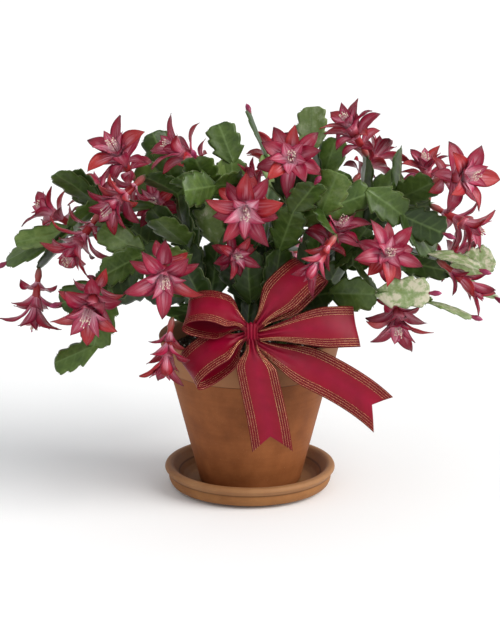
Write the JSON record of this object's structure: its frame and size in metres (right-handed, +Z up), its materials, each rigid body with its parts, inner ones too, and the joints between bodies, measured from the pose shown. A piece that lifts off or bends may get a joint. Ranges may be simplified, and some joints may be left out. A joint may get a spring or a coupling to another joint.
{
  "type": "potted christmas cactus",
  "caption": "Potted holiday cactus in full flower: toothed jointed pads on arching stems, layered crimson blooms, satin ribbon bow on a pick, clay pot standing in its saucer.",
  "frame": {"origin": "centre of the saucer's flat underside, on the surface the pot stands on", "axes": "+Z up; the bow is at the front, toward -Y; +X is to the right of someone who looks at the bow"},
  "size_m": [0.482, 0.3413, 0.382],
  "materials": {
    "saucer_clay": "matte",
    "pot_clay": "matte",
    "potting_soil": "matte",
    "pick_wood": "matte",
    "ribbon_satin": "satin",
    "cactus_green": "satin",
    "petal_crimson": "satin"
  },
  "bodies": {
    "root": {"saucer": "saucer_clay", "pot": "pot_clay", "soil": "potting_soil", "bow_pick": "pick_wood", "bow_knot": "ribbon_satin", "bow_loop_lower_left": "ribbon_satin", "bow_loop_right": "ribbon_satin", "bow_loop_upper_left": "ribbon_satin", "bow_loop_upper_right": "ribbon_satin", "bow_tail_centre": "ribbon_satin", "bow_tail_right": "ribbon_satin", "stem_01": "cactus_green", "stem_02": "cactus_green", "stem_03": "cactus_green", "stem_04": "cactus_green", "stem_05": "cactus_green", "stem_06": "cactus_green", "stem_07": "cactus_green", "stem_08": "cactus_green", "stem_09": "cactus_green", "stem_10": "cactus_green", "stem_11": "cactus_green", "stem_12": "cactus_green", "stem_13": "cactus_green", "stem_14": "cactus_green", "stem_15": "cactus_green", "bloom_above_bow_half_open": "petal_crimson", "bloom_back_0": "petal_crimson", "bloom_back_1": "petal_crimson", "bloom_back_2": "petal_crimson", "bloom_back_3": "petal_crimson", "bloom_back_7": "petal_crimson", "bloom_back_8": "petal_crimson", "bloom_back_9": "petal_crimson", "bloom_behind_bow": "petal_crimson", "bloom_centre": "petal_crimson", "bloom_crown_left": "petal_crimson", "bloom_far_left_hanging": "petal_crimson", "bloom_far_left_upper": "petal_crimson", "bloom_front_left": "petal_crimson", "bloom_front_right": "petal_crimson", "bloom_left_inner": "petal_crimson", "bloom_left_nodding": "petal_crimson", "bloom_left_open": "petal_crimson", "bloom_left_upper": "petal_crimson", "bloom_low_left_half_open": "petal_crimson", "bloom_low_right_hanging": "petal_crimson", "bloom_narrow_top": "petal_crimson", "bloom_right_crown": "petal_crimson", "bloom_right_half_open": "petal_crimson", "bloom_right_of_centre": "petal_crimson", "bloom_right_open": "petal_crimson", "bloom_right_side": "petal_crimson", "bloom_top_front": "petal_crimson", "bloom_top_left": "petal_crimson", "bloom_top_right": "petal_crimson"}
  },
  "joints": []
}
